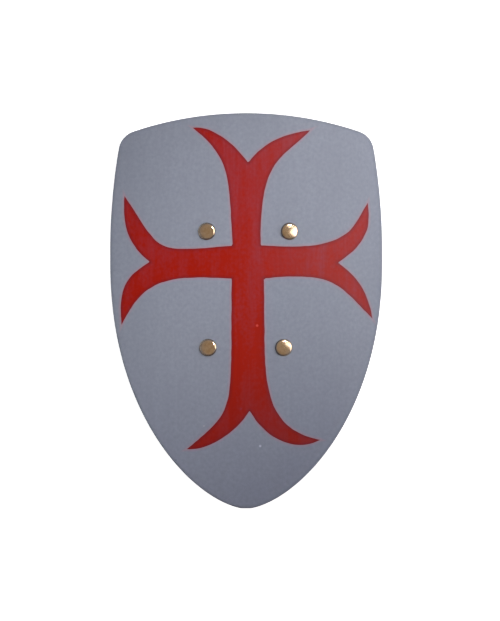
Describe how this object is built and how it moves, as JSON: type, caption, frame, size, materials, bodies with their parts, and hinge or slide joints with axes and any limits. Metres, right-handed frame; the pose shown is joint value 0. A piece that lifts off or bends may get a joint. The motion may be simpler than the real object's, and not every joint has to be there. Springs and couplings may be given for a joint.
{
  "type": "toy knight shield",
  "caption": "Child's knight shield: a bent plywood board, painted grey with a red cross, on riveted leather arm loops.",
  "frame": {"origin": "middle of the shield's width and length, on the surface that it lies on", "axes": "+X to the shield's right as seen from the front, +Y towards its top edge, +Z out of its painted front"},
  "size_m": [0.272, 0.3936, 0.0468],
  "materials": {
    "painted_board": "satin",
    "leather": "matte",
    "rivet_brass": "polished"
  },
  "bodies": {
    "root": {"board": "painted_board", "strap_left": "leather", "strap_right": "leather", "rivet_upper_left": "rivet_brass", "rivet_upper_right": "rivet_brass", "rivet_lower_left": "rivet_brass", "rivet_lower_right": "rivet_brass"}
  },
  "joints": []
}
